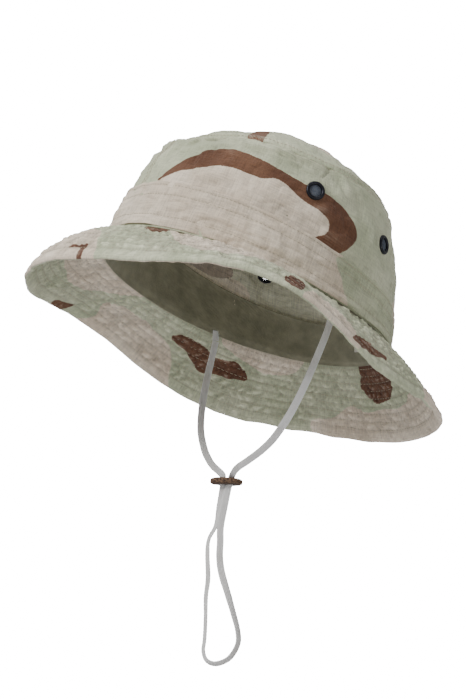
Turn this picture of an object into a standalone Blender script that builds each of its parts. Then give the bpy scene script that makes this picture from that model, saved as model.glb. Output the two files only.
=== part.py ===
"""A boonie hat: a soft sun hat with a stitched brim, a crown with a band, vent eyelets and a chin strap.

Metres, +Z up. The hat sits as it is worn, pitched back on the head, with its front towards -Y and the
wearer's left towards +X. The origin is the centre of the head opening. Each layer of cloth is one solid.
"""

import math

import bmesh
import bpy
from mathutils import Matrix, Vector

# Worn attitude: the front of the brim is lifted by this much.
WORN_TILT = math.radians(-22.8)

# Head opening: half width and half length of the seam where the crown meets the brim.
OPENING_HALF_WIDTH = 0.0827
OPENING_HALF_LENGTH = 0.0993
# Rise of that seam around the head, as cosines of 0, 1, 2 and 3 turns.
SEAM_RISE = (-0.0003, -0.0013, 0.0016, -0.0006)

# Crown top seam: an oval, leaning forward a little, which the crown walls are sewn to.
TOP_HALF_WIDTH = 0.0830
TOP_HALF_LENGTH = 0.0746
TOP_CENTRE_Y = -0.0083
TOP_CENTRE_Z = 0.0732
TOP_LEAN = 0.0435
TOP_DOME = 0.0316
# How far the crown wall swells, outwards and upwards, halfway up.
SWELL_OUT = (0.0043, -0.0017, -0.0026)
SWELL_UP = (0.0063, 0.0100)

# Brim: its width along the cloth, its mean droop in degrees and the turn of its section from
# the seam to the edge, both as cosines of 0, 1, 2 ... turns around the head.
BRIM_WIDTH = 0.0582
BRIM_DROOP = (36.6, 2.0, 5.8, 6.6, 0.1, -3.9)
BRIM_TURN = (32.0, 20.0, 8.0)
BRIM_SEAM_DROP = 0.0019

# Cloth thicknesses and the clearance between neighbouring layers.
CROWN_CLOTH = 0.0012
BAND_CLOTH = 0.0011
BRIM_PLY = 0.0007
STIFFENER = 0.0010
SWEATBAND_CLOTH = 0.0012
LABEL_CLOTH = 0.0006
LAYER_GAP = 0.0004
SEAM_GAP = 0.0006

# Extents of the crown pieces, as shares of the wall from the brim seam up.
WALL_FOOT = 0.012
WALL_HEAD = 0.990
BAND_SPAN = (0.030, 0.290)
SWEATBAND_SPAN = (0.020, 0.340)
LABEL_SPAN = (0.090, 0.240)
LABEL_HALF_TURN = math.radians(11)
TIP_RIM = 0.984

# Vent eyelets: place around the crown (degrees from the front) and up the wall, and their sizes.
EYELET_TURNS = {"front": 80.0, "rear": 121.5}
EYELET_HEIGHT = 0.63
EYELET_RADIUS = 0.0062
EYELET_BORE = 0.0040
BARREL_RADIUS = 0.0046
WALL_HOLE_RADIUS = 0.0050
FLANGE_THICKNESS = 0.0011
MESH_THICKNESS = 0.0003
# The eyelets are flat and the wall is curved, so they stand this far off it.
EYELET_STANDOFF = 0.0010

# Chin strap: a flat braided tape, here a plain round tube.
STRAP_RADIUS = 0.0013
STRAP_STEP = 0.0068
TAB_SIZE = (0.0022, 0.0090, 0.0050)
TAB_GAP = 0.0016
# One fall of the strap, from its sewn end to just above the slider; the other is its mirror image.
STRAP_FALL = (
    (0.0774, 0.0186, -0.0190),
    (0.0768, 0.0158, -0.0290),
    (0.0740, 0.0105, -0.0440),
    (0.0687, 0.0042, -0.0625),
    (0.0600, -0.0015, -0.0800),
    (0.0475, -0.0055, -0.0935),
    (0.0360, -0.0085, -0.1010),
    (0.0240, -0.0115, -0.1065),
    (0.0120, -0.0135, -0.1110),
)
# Slider: its centre, the heading of its long side, and the lean of the two tapes through it.
SLIDER_CENTRE = Vector((-0.0009, -0.0140, -0.1184))
SLIDER_HEADING = math.radians(45)
SLIDER_LEAN = math.radians(9.7)
SLIDER_LENGTH = 0.0212
SLIDER_WIDTH = 0.0100
SLIDER_THICKNESS = 0.0043
SLOT_OFFSET = 0.0030
SLOT_LENGTH = 0.0046
SLOT_WIDTH = 0.0034
STRAIGHT_ABOVE = 0.0034
STRAIGHT_BELOW = 0.0285
# The hanging loop below the straight tapes: across along the slider's heading, and down.
LOOP = (
    (-0.0040, 0.0380),
    (-0.0044, 0.0480),
    (-0.0030, 0.0580),
    (0.0010, 0.0712),
    (0.0046, 0.0832),
    (0.0076, 0.0945),
    (0.0075, 0.1030),
    (0.0020, 0.1115),
    (-0.0065, 0.1150),
    (-0.0128, 0.1130),
    (-0.0152, 0.1070),
    (-0.0143, 0.0990),
    (-0.0137, 0.0860),
    (-0.0135, 0.0727),
    (-0.0121, 0.0609),
    (-0.0125, 0.0460),
    (-0.0116, 0.0365),
)

# Mesh density: cells around the head, up the wall and across the brim.
CELLS_AROUND = 36
CELLS_UP = 6
CELLS_ACROSS = 5
EYELET_SIDES = 14

COLOURS = {
    "sand": (0.47, 0.43, 0.38),
    "green": (0.34, 0.35, 0.28),
    "stiffener": (0.62, 0.60, 0.54),
    "lining": (0.24, 0.24, 0.19),
    "label": (0.70, 0.69, 0.64),
    "black_metal": (0.03, 0.03, 0.04),
    "screen": (0.11, 0.13, 0.15),
    "tape": (0.44, 0.43, 0.40),
    "leather": (0.10, 0.05, 0.03),
}


def clear_scene():
    for obj in list(bpy.data.objects):
        bpy.data.objects.remove(obj, do_unlink=True)


def material(name, roughness, metallic=0.0):
    found = bpy.data.materials.get(name)
    if found:
        return found
    made = bpy.data.materials.new(name)
    made.use_nodes = True
    shader = made.node_tree.nodes["Principled BSDF"]
    shader.inputs["Base Color"].default_value = (*COLOURS[name], 1.0)
    shader.inputs["Roughness"].default_value = roughness
    shader.inputs["Metallic"].default_value = metallic
    return made


def cloth(name):
    return material(name, 0.9)


def cosines(terms, turn):
    return sum(term * math.cos(count * turn) for count, term in enumerate(terms))


def seam_point(turn):
    """The seam between crown and brim; turn is 0 at the front and a quarter at the wearer's left."""
    return Vector(
        (
            OPENING_HALF_WIDTH * math.sin(turn),
            -OPENING_HALF_LENGTH * math.cos(turn),
            cosines(SEAM_RISE, turn),
        )
    )


def seam_outward(turn):
    out = Vector(
        (
            OPENING_HALF_LENGTH * math.sin(turn),
            -OPENING_HALF_WIDTH * math.cos(turn),
            0.0,
        )
    )
    return out.normalized()


def top_seam_point(turn):
    ahead = TOP_HALF_LENGTH * math.cos(turn)
    return Vector(
        (
            TOP_HALF_WIDTH * math.sin(turn),
            TOP_CENTRE_Y - ahead * math.cos(TOP_LEAN),
            TOP_CENTRE_Z - ahead * math.sin(TOP_LEAN),
        )
    )


def wall_point(turn, rise):
    """The crown wall's surface, from the brim seam (rise 0) to the top seam (rise 1)."""
    straight = seam_point(turn).lerp(top_seam_point(turn), rise)
    swell = 4.0 * rise * (1.0 - rise)
    out = seam_outward(turn) * cosines(SWELL_OUT, turn)
    return straight + swell * (out + Vector((0, 0, cosines(SWELL_UP, turn))))


def tip_point(turn, share):
    """The crown's domed top panel, from its centre (share 0) to the top seam (share 1)."""
    centre = Vector((0, TOP_CENTRE_Y, TOP_CENTRE_Z))
    axis = Vector((0, -math.sin(TOP_LEAN), math.cos(TOP_LEAN)))
    return centre.lerp(top_seam_point(turn), share) + axis * TOP_DOME * (1.0 - share**2)


def brim_point(turn, share):
    """The brim's middle surface: a circular arc from the seam (share 0) to the edge (share 1)."""
    bend = math.radians(cosines(BRIM_TURN, turn))
    start = math.radians(cosines(BRIM_DROOP, turn)) - bend / 2
    radius = BRIM_WIDTH / bend
    angle = start + bend * share
    out = radius * (math.sin(angle) - math.sin(start))
    down = radius * (math.cos(start) - math.cos(angle)) + BRIM_SEAM_DROP
    return seam_point(turn) + seam_outward(turn) * out - Vector((0, 0, down))


def surface_normal(surface, u, v, step=1e-4):
    along = surface(u + step, v) - surface(u - step, v)
    up = surface(u, v + step) - surface(u, v - step)
    return along.cross(up).normalized()


def spread(start, end, cells):
    return [start + (end - start) * i / cells for i in range(cells + 1)]


def around():
    return [math.tau * i / CELLS_AROUND for i in range(CELLS_AROUND)]


def offset_grid(surface, us, vs, offset):
    return [[surface(u, v) + surface_normal(surface, u, v) * offset for u in us] for v in vs]


def new_object(name, mesh, material_used, parent):
    obj = bpy.data.objects.new(name, mesh)
    obj.parent = parent
    obj.data.materials.append(material_used)
    bpy.context.scene.collection.objects.link(obj)
    return obj


def finish_mesh(name, maker, sharp_degrees=40):
    mesh = bpy.data.meshes.new(name)
    bmesh.ops.recalc_face_normals(maker, faces=maker.faces)
    maker.to_mesh(mesh)
    maker.free()
    mesh.shade_smooth()
    mesh.set_sharp_from_angle(angle=math.radians(sharp_degrees))
    return mesh


def sheet_mesh(name, surface, us, vs, low, high, closed):
    """A cloth layer between two offsets of a surface; closed joins its last column to its first."""
    maker = bmesh.new()
    layers = []
    for offset in (low, high):
        grid = offset_grid(surface, us, vs, offset)
        layers.append([[maker.verts.new(point) for point in row] for row in grid])
    columns = len(us)
    steps = columns if closed else columns - 1
    inner, outer = layers
    for j in range(len(vs) - 1):
        for i in range(steps):
            k = (i + 1) % columns
            maker.faces.new((outer[j][i], outer[j][k], outer[j + 1][k], outer[j + 1][i]))
            maker.faces.new((inner[j][i], inner[j + 1][i], inner[j + 1][k], inner[j][k]))
    for j, flip in ((0, False), (len(vs) - 1, True)):
        for i in range(steps):
            k = (i + 1) % columns
            rim = (outer[j][i], inner[j][i], inner[j][k], outer[j][k])
            maker.faces.new(rim[::-1] if flip else rim)
    if not closed:
        for i in (0, columns - 1):
            for j in range(len(vs) - 1):
                maker.faces.new((outer[j][i], outer[j + 1][i], inner[j + 1][i], inner[j][i]))
    return finish_mesh(name, maker)


def dome_mesh(name, low, high, rim_share):
    """The domed top panel as one closed shell, its two faces fanned from a centre point."""
    maker = bmesh.new()
    turns = around()
    shares = spread(0.0, rim_share, CELLS_ACROSS)[1:]
    axis = Vector((0, -math.sin(TOP_LEAN), math.cos(TOP_LEAN)))
    layers = []
    for offset in (low, high):
        rows = [
            [
                maker.verts.new(
                    tip_point(turn, share) - surface_normal(tip_point, turn, share) * offset
                )
                for turn in turns
            ]
            for share in shares
        ]
        centre = maker.verts.new(tip_point(0.0, 0.0) + axis * offset)
        layers.append((centre, rows))
    for centre, rows in layers:
        for i in range(len(turns)):
            k = (i + 1) % len(turns)
            maker.faces.new((centre, rows[0][i], rows[0][k]))
            for j in range(len(rows) - 1):
                maker.faces.new((rows[j][i], rows[j + 1][i], rows[j + 1][k], rows[j][k]))
    inner, outer = layers[0][1][-1], layers[1][1][-1]
    for i in range(len(turns)):
        k = (i + 1) % len(turns)
        maker.faces.new((inner[i], inner[k], outer[k], outer[i]))
    return finish_mesh(name, maker)


def turned_mesh(name, profile, sides):
    """A ring turned about +Z from a closed profile of (radius, height) points."""
    maker = bmesh.new()
    rings = []
    for i in range(sides):
        angle = math.tau * i / sides
        ring = [
            maker.verts.new((radius * math.cos(angle), radius * math.sin(angle), height))
            for radius, height in profile
        ]
        rings.append(ring)
    for i in range(sides):
        here, there = rings[i], rings[(i + 1) % sides]
        for j in range(len(profile)):
            k = (j + 1) % len(profile)
            maker.faces.new((here[j], there[j], there[k], here[k]))
    return finish_mesh(name, maker, 30)


def disc_mesh(name, radius, thickness, sides):
    maker = bmesh.new()
    bmesh.ops.create_cone(
        maker,
        cap_ends=True,
        cap_tris=False,
        segments=sides,
        radius1=radius,
        radius2=radius,
        depth=thickness,
    )
    return finish_mesh(name, maker, 30)


def box_mesh(name, size, bevel):
    maker = bmesh.new()
    bmesh.ops.create_cube(maker, size=1.0)
    bmesh.ops.scale(maker, vec=Vector(size), verts=maker.verts)
    bmesh.ops.bevel(maker, geom=maker.edges[:], offset=bevel, segments=1, affect="EDGES")
    return finish_mesh(name, maker, 30)


def wall_frame(turn, rise):
    """A frame on the crown wall whose Z axis points straight out of the cloth."""
    out = surface_normal(wall_point, turn, rise)
    across = (wall_point(turn + 1e-3, rise) - wall_point(turn - 1e-3, rise)).normalized()
    up = out.cross(across)
    rotation = Matrix((across, up, out)).transposed().to_4x4()
    return Matrix.Translation(wall_point(turn, rise)) @ rotation


def cut(obj, name, mesh, frame, parent):
    """Subtracts a hidden cutter from an object."""
    cutter = new_object(name, mesh, obj.data.materials[0], parent)
    cutter.matrix_local = frame
    cutter.hide_render = True
    cutter.display_type = "WIRE"
    modifier = obj.modifiers.new(name, "BOOLEAN")
    modifier.operation = "DIFFERENCE"
    modifier.solver = "EXACT"
    modifier.object = cutter


def eyelet_places(sign):
    return {
        place: math.radians(sign * degrees) for place, degrees in EYELET_TURNS.items()
    }


def crown_walls(hat):
    """The two side panels, joined at centre front and centre back, with their eyelet holes."""
    seam_turn = SEAM_GAP / 2 / OPENING_HALF_LENGTH
    half = CROWN_CLOTH / 2
    rises = spread(WALL_FOOT, WALL_HEAD, CELLS_UP)
    hole = disc_mesh("eyelet_hole", WALL_HOLE_RADIUS, 0.012, EYELET_SIDES)
    for side, sign in (("left", 1), ("right", -1)):
        turns = spread(seam_turn, math.pi - seam_turn, CELLS_AROUND // 2)
        turns = [sign * turn for turn in turns][::sign]
        name = "crown_wall_" + side
        mesh = sheet_mesh(name, wall_point, turns, rises, -half, half, closed=False)
        wall = new_object(name, mesh, cloth("sand"), hat)
        for place, turn in eyelet_places(sign).items():
            frame = wall_frame(turn, EYELET_HEIGHT)
            cut(wall, "hole_" + side + "_" + place, hole, frame, hat)


def crown_tip(hat):
    half = CROWN_CLOTH / 2
    mesh = dome_mesh("crown_tip", -half, half, TIP_RIM)
    new_object("crown_tip", mesh, cloth("green"), hat)


def wall_ring(hat, name, span, low, high, cells, material_used):
    rises = spread(*span, cells)
    mesh = sheet_mesh(name, wall_point, around(), rises, low, high, closed=True)
    new_object(name, mesh, material_used, hat)


def crown_band(hat):
    low = CROWN_CLOTH / 2 + LAYER_GAP
    wall_ring(hat, "crown_band", BAND_SPAN, low, low + BAND_CLOTH, 3, cloth("sand"))


def sweatband(hat):
    high = -CROWN_CLOTH / 2 - LAYER_GAP
    low = high - SWEATBAND_CLOTH
    wall_ring(hat, "sweatband", SWEATBAND_SPAN, low, high, 3, cloth("lining"))
    label_high = low - LAYER_GAP
    turns = spread(math.pi - LABEL_HALF_TURN, math.pi + LABEL_HALF_TURN, 4)
    rises = spread(*LABEL_SPAN, 2)
    mesh = sheet_mesh(
        "size_label", wall_point, turns, rises, label_high - LABEL_CLOTH, label_high, closed=False
    )
    new_object("size_label", mesh, cloth("label"), hat)


def brim(hat):
    """Top and under plies with a stiffener between them, all quilted together by the edge stitching."""
    half = STIFFENER / 2
    layers = {
        "brim_under_ply": (-half - LAYER_GAP - BRIM_PLY, -half - LAYER_GAP, "green"),
        "brim_stiffener": (-half, half, "stiffener"),
        "brim_top_ply": (half + LAYER_GAP, half + LAYER_GAP + BRIM_PLY, "green"),
    }
    shares = spread(0.0, 1.0, CELLS_ACROSS)
    # The brim's own surface runs outwards, so its normal points down and its offsets change sign.
    for name, (low, high, colour) in layers.items():
        mesh = sheet_mesh(name, brim_point, around(), shares, -high, -low, closed=True)
        new_object(name, mesh, cloth(colour), hat)


def eyelets(hat):
    """Each vent: a flanged eyelet with its barrel, a washer inside the crown and a fine screen."""
    metal = material("black_metal", 0.35, 0.8)
    screen = material("screen", 0.5, 0.6)
    face = CROWN_CLOTH / 2 + EYELET_STANDOFF
    barrel_end = -face - FLANGE_THICKNESS
    flange = (
        (EYELET_BORE, barrel_end),
        (BARREL_RADIUS, barrel_end),
        (BARREL_RADIUS, face),
        (EYELET_RADIUS, face),
        (EYELET_RADIUS - 0.0003, face + 0.6 * FLANGE_THICKNESS),
        (0.5 * (EYELET_RADIUS + EYELET_BORE), face + FLANGE_THICKNESS),
        (EYELET_BORE, face + 0.5 * FLANGE_THICKNESS),
    )
    washer = (
        (BARREL_RADIUS + 0.0003, -face - 0.8 * FLANGE_THICKNESS),
        (EYELET_RADIUS, -face - 0.8 * FLANGE_THICKNESS),
        (EYELET_RADIUS, -face),
        (BARREL_RADIUS + 0.0003, -face),
    )
    flange_mesh = turned_mesh("eyelet_flange", flange, EYELET_SIDES)
    washer_mesh = turned_mesh("eyelet_washer", washer, EYELET_SIDES)
    screen_mesh = disc_mesh("eyelet_screen", EYELET_BORE - 0.0003, MESH_THICKNESS, EYELET_SIDES)
    kinds = (
        ("eyelet_", flange_mesh, metal),
        ("eyelet_washer_", washer_mesh, metal),
        ("eyelet_screen_", screen_mesh, screen),
    )
    for side, sign in (("left", 1), ("right", -1)):
        for place, turn in eyelet_places(sign).items():
            for prefix, mesh, finish in kinds:
                copy = mesh.copy()
                copy.materials.clear()
                obj = new_object(prefix + side + "_" + place, copy, finish, hat)
                obj.matrix_local = wall_frame(turn, EYELET_HEIGHT)


def strap_tabs():
    """The folded and bar-tacked ends that hold the strap inside the brim seam, upright in space."""
    start = Vector(STRAP_FALL[0])
    for side, sign in (("left", 1), ("right", -1)):
        mesh = box_mesh("strap_tab_" + side, TAB_SIZE, 0.0004)
        tab = new_object("strap_tab_" + side, mesh, material("tape", 0.8), None)
        above = Vector((0, 0, TAB_GAP + TAB_SIZE[2] / 2))
        tab.location = Vector((sign * start.x, start.y, start.z)) + above


def slider_frame():
    """The slider's centre with X along its long side and Z up the two tapes that pass through it."""
    heading = Vector((math.cos(SLIDER_HEADING), math.sin(SLIDER_HEADING), 0))
    up = heading * math.sin(SLIDER_LEAN) + Vector((0, 0, math.cos(SLIDER_LEAN)))
    long_side = heading * math.cos(SLIDER_LEAN) - Vector((0, 0, math.sin(SLIDER_LEAN)))
    deep = up.cross(long_side)
    rotation = Matrix((long_side, deep, up)).transposed().to_4x4()
    return Matrix.Translation(SLIDER_CENTRE) @ rotation


def smooth_route(points, step):
    """Points about one step apart along a smooth curve through the given points."""
    made = []
    count = len(points)
    for i in range(count - 1):
        before = points[max(i - 1, 0)]
        here, there = points[i], points[i + 1]
        after = points[min(i + 2, count - 1)]
        pieces = max(1, round((there - here).length / step))
        for j in range(pieces):
            t = j / pieces
            made.append(
                0.5
                * (
                    2 * here
                    + (there - before) * t
                    + (2 * before - 5 * here + 4 * there - after) * t**2
                    + (3 * here - before - 3 * there + after) * t**3
                )
            )
    made.append(points[-1])
    return made


def strap_route():
    """Down the wearer's left, through the slider, round the loop, back through it and up the right."""
    frame = slider_frame()
    heading = Vector((math.cos(SLIDER_HEADING), math.sin(SLIDER_HEADING), 0))
    falls = {
        sign: [Vector((sign * x, y, z)) for x, y, z in STRAP_FALL] for sign in (1, -1)
    }
    straights = {
        sign: [
            frame @ Vector((sign * SLOT_OFFSET, 0, height))
            for height in (STRAIGHT_ABOVE, 0.0, -STRAIGHT_BELOW / 2, -STRAIGHT_BELOW)
        ]
        for sign in (1, -1)
    }
    loop = [SLIDER_CENTRE + heading * across - Vector((0, 0, down)) for across, down in LOOP]
    there = falls[1] + straights[1]
    back = straights[-1][::-1] + falls[-1][::-1]
    return there + loop + back


def chin_strap():
    curve = bpy.data.curves.new("chin_strap", "CURVE")
    curve.dimensions = "3D"
    curve.bevel_depth = STRAP_RADIUS
    curve.bevel_resolution = 2
    curve.use_fill_caps = True
    points = smooth_route(strap_route(), STRAP_STEP)
    spline = curve.splines.new("POLY")
    spline.points.add(len(points) - 1)
    for point, place in zip(spline.points, points):
        point.co = (*place, 1.0)
    new_object("chin_strap", curve, material("tape", 0.8), None)


def slider():
    """A short leather keeper with round ends and two slots for the tapes."""
    maker = bmesh.new()
    radius = SLIDER_WIDTH / 2
    reach = SLIDER_LENGTH / 2 - radius
    outline = []
    arc_steps = 8
    for end in (1, -1):
        for i in range(arc_steps + 1):
            angle = math.pi * (i / arc_steps - 0.5)
            outline.append((end * (reach + radius * math.cos(angle)), end * radius * math.sin(angle)))
    low = [maker.verts.new((x, y, -SLIDER_THICKNESS / 2)) for x, y in outline]
    high = [maker.verts.new((x, y, SLIDER_THICKNESS / 2)) for x, y in outline]
    maker.faces.new(low[::-1])
    maker.faces.new(high)
    for i in range(len(outline)):
        k = (i + 1) % len(outline)
        maker.faces.new((low[i], low[k], high[k], high[i]))
    mesh = finish_mesh("slider", maker, 30)
    keeper = new_object("slider", mesh, material("leather", 0.75), None)
    keeper.matrix_local = slider_frame()
    for name, sign in (("slot_left", 1), ("slot_right", -1)):
        slot = box_mesh(name, (SLOT_LENGTH, SLOT_WIDTH, 0.02), 0.0003)
        place = slider_frame() @ Matrix.Translation((sign * SLOT_OFFSET, 0, 0))
        cut(keeper, name, slot, place, None)


def main():
    clear_scene()
    hat = bpy.data.objects.new("worn_attitude", None)
    hat.rotation_euler = (WORN_TILT, 0, 0)
    bpy.context.scene.collection.objects.link(hat)
    crown_walls(hat)
    crown_tip(hat)
    crown_band(hat)
    sweatband(hat)
    brim(hat)
    eyelets(hat)
    strap_tabs()
    chin_strap()
    slider()


main()
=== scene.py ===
import math

import bmesh
import bpy
import numpy as np
from mathutils import Matrix, Vector


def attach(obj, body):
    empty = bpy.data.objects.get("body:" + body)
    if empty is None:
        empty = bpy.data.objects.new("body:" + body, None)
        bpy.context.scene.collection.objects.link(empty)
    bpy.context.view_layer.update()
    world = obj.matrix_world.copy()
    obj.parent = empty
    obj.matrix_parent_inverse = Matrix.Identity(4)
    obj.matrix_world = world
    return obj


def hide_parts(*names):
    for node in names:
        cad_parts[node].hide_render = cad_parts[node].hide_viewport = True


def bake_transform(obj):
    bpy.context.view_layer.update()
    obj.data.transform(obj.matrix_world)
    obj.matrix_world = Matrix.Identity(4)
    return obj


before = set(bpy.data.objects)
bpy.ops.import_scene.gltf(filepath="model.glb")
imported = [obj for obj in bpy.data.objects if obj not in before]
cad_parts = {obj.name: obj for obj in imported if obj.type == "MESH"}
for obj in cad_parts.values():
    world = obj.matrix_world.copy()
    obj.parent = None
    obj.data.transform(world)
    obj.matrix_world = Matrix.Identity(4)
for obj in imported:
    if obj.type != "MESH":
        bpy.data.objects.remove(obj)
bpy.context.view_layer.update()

BACK = math.pi

# The hat's own surfaces, as in the CAD. Lists are cosine terms of the turn round the head.
WORN_TILT = math.radians(-22.8)
OPENING_HALF_WIDTH, OPENING_HALF_LENGTH = 0.0827, 0.0993
SEAM_RISE = (-0.0003, -0.0013, 0.0016, -0.0006)
TOP_HALF_WIDTH, TOP_HALF_LENGTH = 0.0830, 0.0746
TOP_CENTRE_Y, TOP_CENTRE_Z, TOP_LEAN, TOP_DOME = -0.0083, 0.0732, 0.0435, 0.0316
SWELL_OUT, SWELL_UP = (0.0043, -0.0017, -0.0026), (0.0063, 0.0100)
BRIM_WIDTH, BRIM_SEAM_DROP = 0.0582, 0.0019
BRIM_DROOP, BRIM_TURN = (36.6, 2.0, 5.8, 6.6, 0.1, -3.9), (32.0, 20.0, 8.0)
EYELET_TURNS, EYELET_HEIGHT = {"front": 80.0, "rear": 121.5}, 0.63

# Cloth, in metres.
WALL_HALF = 0.0006
BAND_LIFT = 0.0014
PLY = 0.0006
BRIM_HALF = 0.0011
WALL_LENGTH, TIP_REACH, HEAD_ROUND, TOP_ROUND = 0.084, 0.079, 0.573, 0.50
WALL_RADIUS, BAND_RADIUS, TAPE_RADIUS, BRIM_RADIUS = 0.088, 0.0905, 0.083, 0.118

# Quilting of the brim: stitch rows at even shares of its width, then a plain rolled margin.
ROW_FIRST, ROW_STEP, ROWS = 0.055, 0.0985, 9
ROW_LAST = ROW_FIRST + ROW_STEP * (ROWS - 1)
EDGE_START, EDGE_SHARE = 0.955, 0.045

# Chin strap, as in the CAD.
STRAP_FALL = (
    (0.0774, 0.0186, -0.0190), (0.0768, 0.0158, -0.0290), (0.0740, 0.0105, -0.0440),
    (0.0687, 0.0042, -0.0625), (0.0600, -0.0015, -0.0800), (0.0475, -0.0055, -0.0935),
    (0.0360, -0.0085, -0.1010), (0.0240, -0.0115, -0.1065), (0.0120, -0.0135, -0.1110),
)
FALL_TWIST = (45, 45, 40, 32, 24, 16, 10, 4, 0)
SLIDER_CENTRE = np.array((-0.0009, -0.0140, -0.1184))
SLIDER_HEADING, SLIDER_LEAN = math.radians(45), math.radians(9.7)
SLIDER_SAG, SLIDER_NOD = math.radians(6.5), math.radians(9)
SLIDER_LENGTH, SLIDER_WIDTH, SLIDER_THICKNESS, SLOT_OFFSET = 0.0212, 0.0100, 0.0043, 0.0030
STRAIGHTS = (0.0034, 0.0, -0.0045, -0.0150, -0.0285)
LOOP = (
    (-0.0040, 0.0380), (-0.0044, 0.0480), (-0.0030, 0.0580), (0.0010, 0.0712),
    (0.0046, 0.0832), (0.0076, 0.0945), (0.0075, 0.1030), (0.0020, 0.1115),
    (-0.0065, 0.1150), (-0.0128, 0.1130), (-0.0152, 0.1070), (-0.0143, 0.0990),
    (-0.0137, 0.0860), (-0.0135, 0.0727), (-0.0121, 0.0609), (-0.0125, 0.0460),
    (-0.0116, 0.0365),
)
LOOP_TWIST = (0, 6, 20, 42, 58, 66, 64, 58, 52, 50, 50, 50, 50, 44, 36, 42, 52)
BACK_TWIST = (50, 34, 14, 0, 0)
TAPE_WIDTH, TAPE_THICKNESS, TAPE_RIBS = 0.0048, 0.0013, 6


def cosines(terms, turn):
    return sum(term * np.cos(count * turn) for count, term in enumerate(terms))


def unit(vectors):
    return vectors / np.maximum(np.linalg.norm(vectors, axis=-1, keepdims=True), 1e-12)


def stack(x, y, z):
    return np.stack(np.broadcast_arrays(x, y, z), -1).astype(float)


def ease(t):
    return t * t * (3 - 2 * t)


def soft_step(value, low, high):
    return ease(np.clip((value - low) / (high - low), 0, 1))


def bell(away, width):
    return np.exp(-((away / width) ** 2))


# Smooth noise.
def lattice(i, j, k, seed):
    n = (i * 73856093) ^ (j * 19349663) ^ (k * 83492791) ^ (seed * 961748927)
    n = ((n ^ (n >> 13)) * 1274126177) & 0xFFFFFFFF
    n = ((n ^ (n >> 16)) * 668265263) & 0xFFFFFFFF
    return ((n ^ (n >> 15)) & 0xFFFF) / 32767.5 - 1.0


def noise(points, size, seed):
    """Values from -1 to 1 at points in space, with features about `size` across."""
    p = points / size + 100.0
    base = np.floor(p).astype(np.int64)
    f = ease(p - base)
    total = 0.0
    for corner in np.ndindex(2, 2, 2):
        weight = 1.0
        for axis, bit in enumerate(corner):
            weight = weight * (f[..., axis] if bit else 1 - f[..., axis])
        total = total + weight * lattice(*(base[..., a] + corner[a] for a in range(3)), seed)
    return total


def ring_noise(turn, across, count, seed):
    """Values from -1 to 1 with `count` features around the head, closing on themselves."""
    u, v = np.broadcast_arrays(np.asarray(turn, float) / math.tau * count, across)
    i, j = np.floor(u).astype(np.int64), np.floor(v).astype(np.int64)
    f, g = ease(u - i), ease(v - j)
    here = [[lattice((i + a) % count, j + b, 0 * i, seed) for b in (0, 1)] for a in (0, 1)]
    low = here[0][0] * (1 - g) + here[0][1] * g
    high = here[1][0] * (1 - g) + here[1][1] * g
    return low * (1 - f) + high * f


def creases(points, size, seed):
    """Thin furrows from 0 to -1, as cloth keeps after washing."""
    return -((1 - np.abs(noise(points, size, seed))) ** 9)


# The hat's smooth surfaces, in the hat's own frame. turn is 0 at the front and positive to the left.
def seam_point(turn):
    return stack(
        OPENING_HALF_WIDTH * np.sin(turn),
        -OPENING_HALF_LENGTH * np.cos(turn),
        cosines(SEAM_RISE, turn),
    )


def seam_outward(turn):
    return unit(stack(OPENING_HALF_LENGTH * np.sin(turn), -OPENING_HALF_WIDTH * np.cos(turn), 0))


def top_seam_point(turn):
    ahead = TOP_HALF_LENGTH * np.cos(turn)
    return stack(
        TOP_HALF_WIDTH * np.sin(turn),
        TOP_CENTRE_Y - ahead * math.cos(TOP_LEAN),
        TOP_CENTRE_Z - ahead * math.sin(TOP_LEAN),
    )


def wall_base(turn, rise):
    turn, rise = np.broadcast_arrays(turn, rise)
    r = rise[..., None]
    swell = 4 * r * (1 - r)
    out = seam_outward(turn) * cosines(SWELL_OUT, turn)[..., None]
    up = stack(0, 0, cosines(SWELL_UP, turn))
    return seam_point(turn) * (1 - r) + top_seam_point(turn) * r + swell * (out + up)


def tip_base(turn, share):
    turn, share = np.broadcast_arrays(turn, share)
    s = share[..., None]
    centre = np.array((0, TOP_CENTRE_Y, TOP_CENTRE_Z))
    axis = np.array((0, -math.sin(TOP_LEAN), math.cos(TOP_LEAN)))
    return centre * (1 - s) + top_seam_point(turn) * s + axis * TOP_DOME * (1 - s**2)


def brim_base(turn, share):
    turn, share = np.broadcast_arrays(turn, share)
    bend = np.radians(cosines(BRIM_TURN, turn))
    start = np.radians(cosines(BRIM_DROOP, turn)) - bend / 2
    radius = BRIM_WIDTH / bend
    angle = start + bend * share
    out = radius * (np.sin(angle) - np.sin(start))
    down = radius * (np.cos(start) - np.cos(angle)) + BRIM_SEAM_DROP
    return seam_point(turn) + seam_outward(turn) * out[..., None] - stack(0, 0, down)


def normals(surface, turn, share, facing):
    h = 1e-3
    along = surface(turn + h, share) - surface(turn - h, share)
    across = surface(turn, share + h) - surface(turn, share - h)
    return unit(np.cross(along, across)) * facing


def worn(points):
    """From the hat's own frame to the row frame: pitched back as worn."""
    c, s = math.cos(WORN_TILT), math.sin(WORN_TILT)
    x, y, z = points[..., 0], points[..., 1], points[..., 2]
    return stack(x, y * c - z * s, y * s + z * c)


def wall_frame(turn, rise):
    """Axes on the crown wall in the hat's own frame: across, up and straight out, and their origin."""
    out = normals(wall_base, np.array(turn), np.array(rise), 1)
    across = unit(wall_base(turn + 1e-3, rise) - wall_base(turn - 1e-3, rise))
    return across, np.cross(out, across), out, wall_base(turn, rise)


EYELETS = {
    (side, place): wall_frame(math.radians(sign * degrees), EYELET_HEIGHT)
    for side, sign in (("left", 1), ("right", -1))
    for place, degrees in EYELET_TURNS.items()
}


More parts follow.
